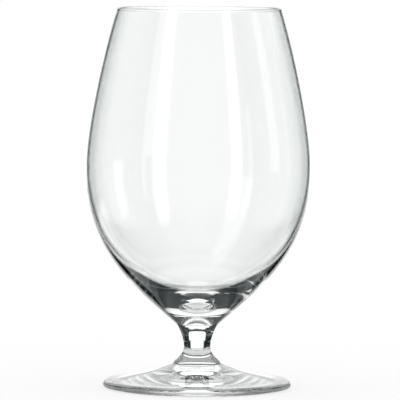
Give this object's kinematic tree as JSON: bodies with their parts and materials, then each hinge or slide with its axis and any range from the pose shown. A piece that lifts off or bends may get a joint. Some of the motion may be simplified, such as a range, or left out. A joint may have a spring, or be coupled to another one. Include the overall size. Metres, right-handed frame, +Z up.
{
  "type": "stemmed beer glass",
  "caption": "Clear stemmed beer glass: egg-shaped thin bowl narrowing to the mouth, thick solid base, short waisted stem, wide round foot.",
  "frame": {"origin": "centre of the foot on the table plane that its bearing ring rests on", "axes": "+Z up along the axis of the glass, out of the mouth; the glass is round, so +X and +Y are free"},
  "size_m": [0.0902, 0.0902, 0.1516],
  "materials": {
    "clear_glass": "clear, fire-polished, smooth and uncoloured"
  },
  "bodies": {
    "root": {"bowl": "clear_glass", "stem": "clear_glass", "foot": "clear_glass"}
  },
  "joints": []
}
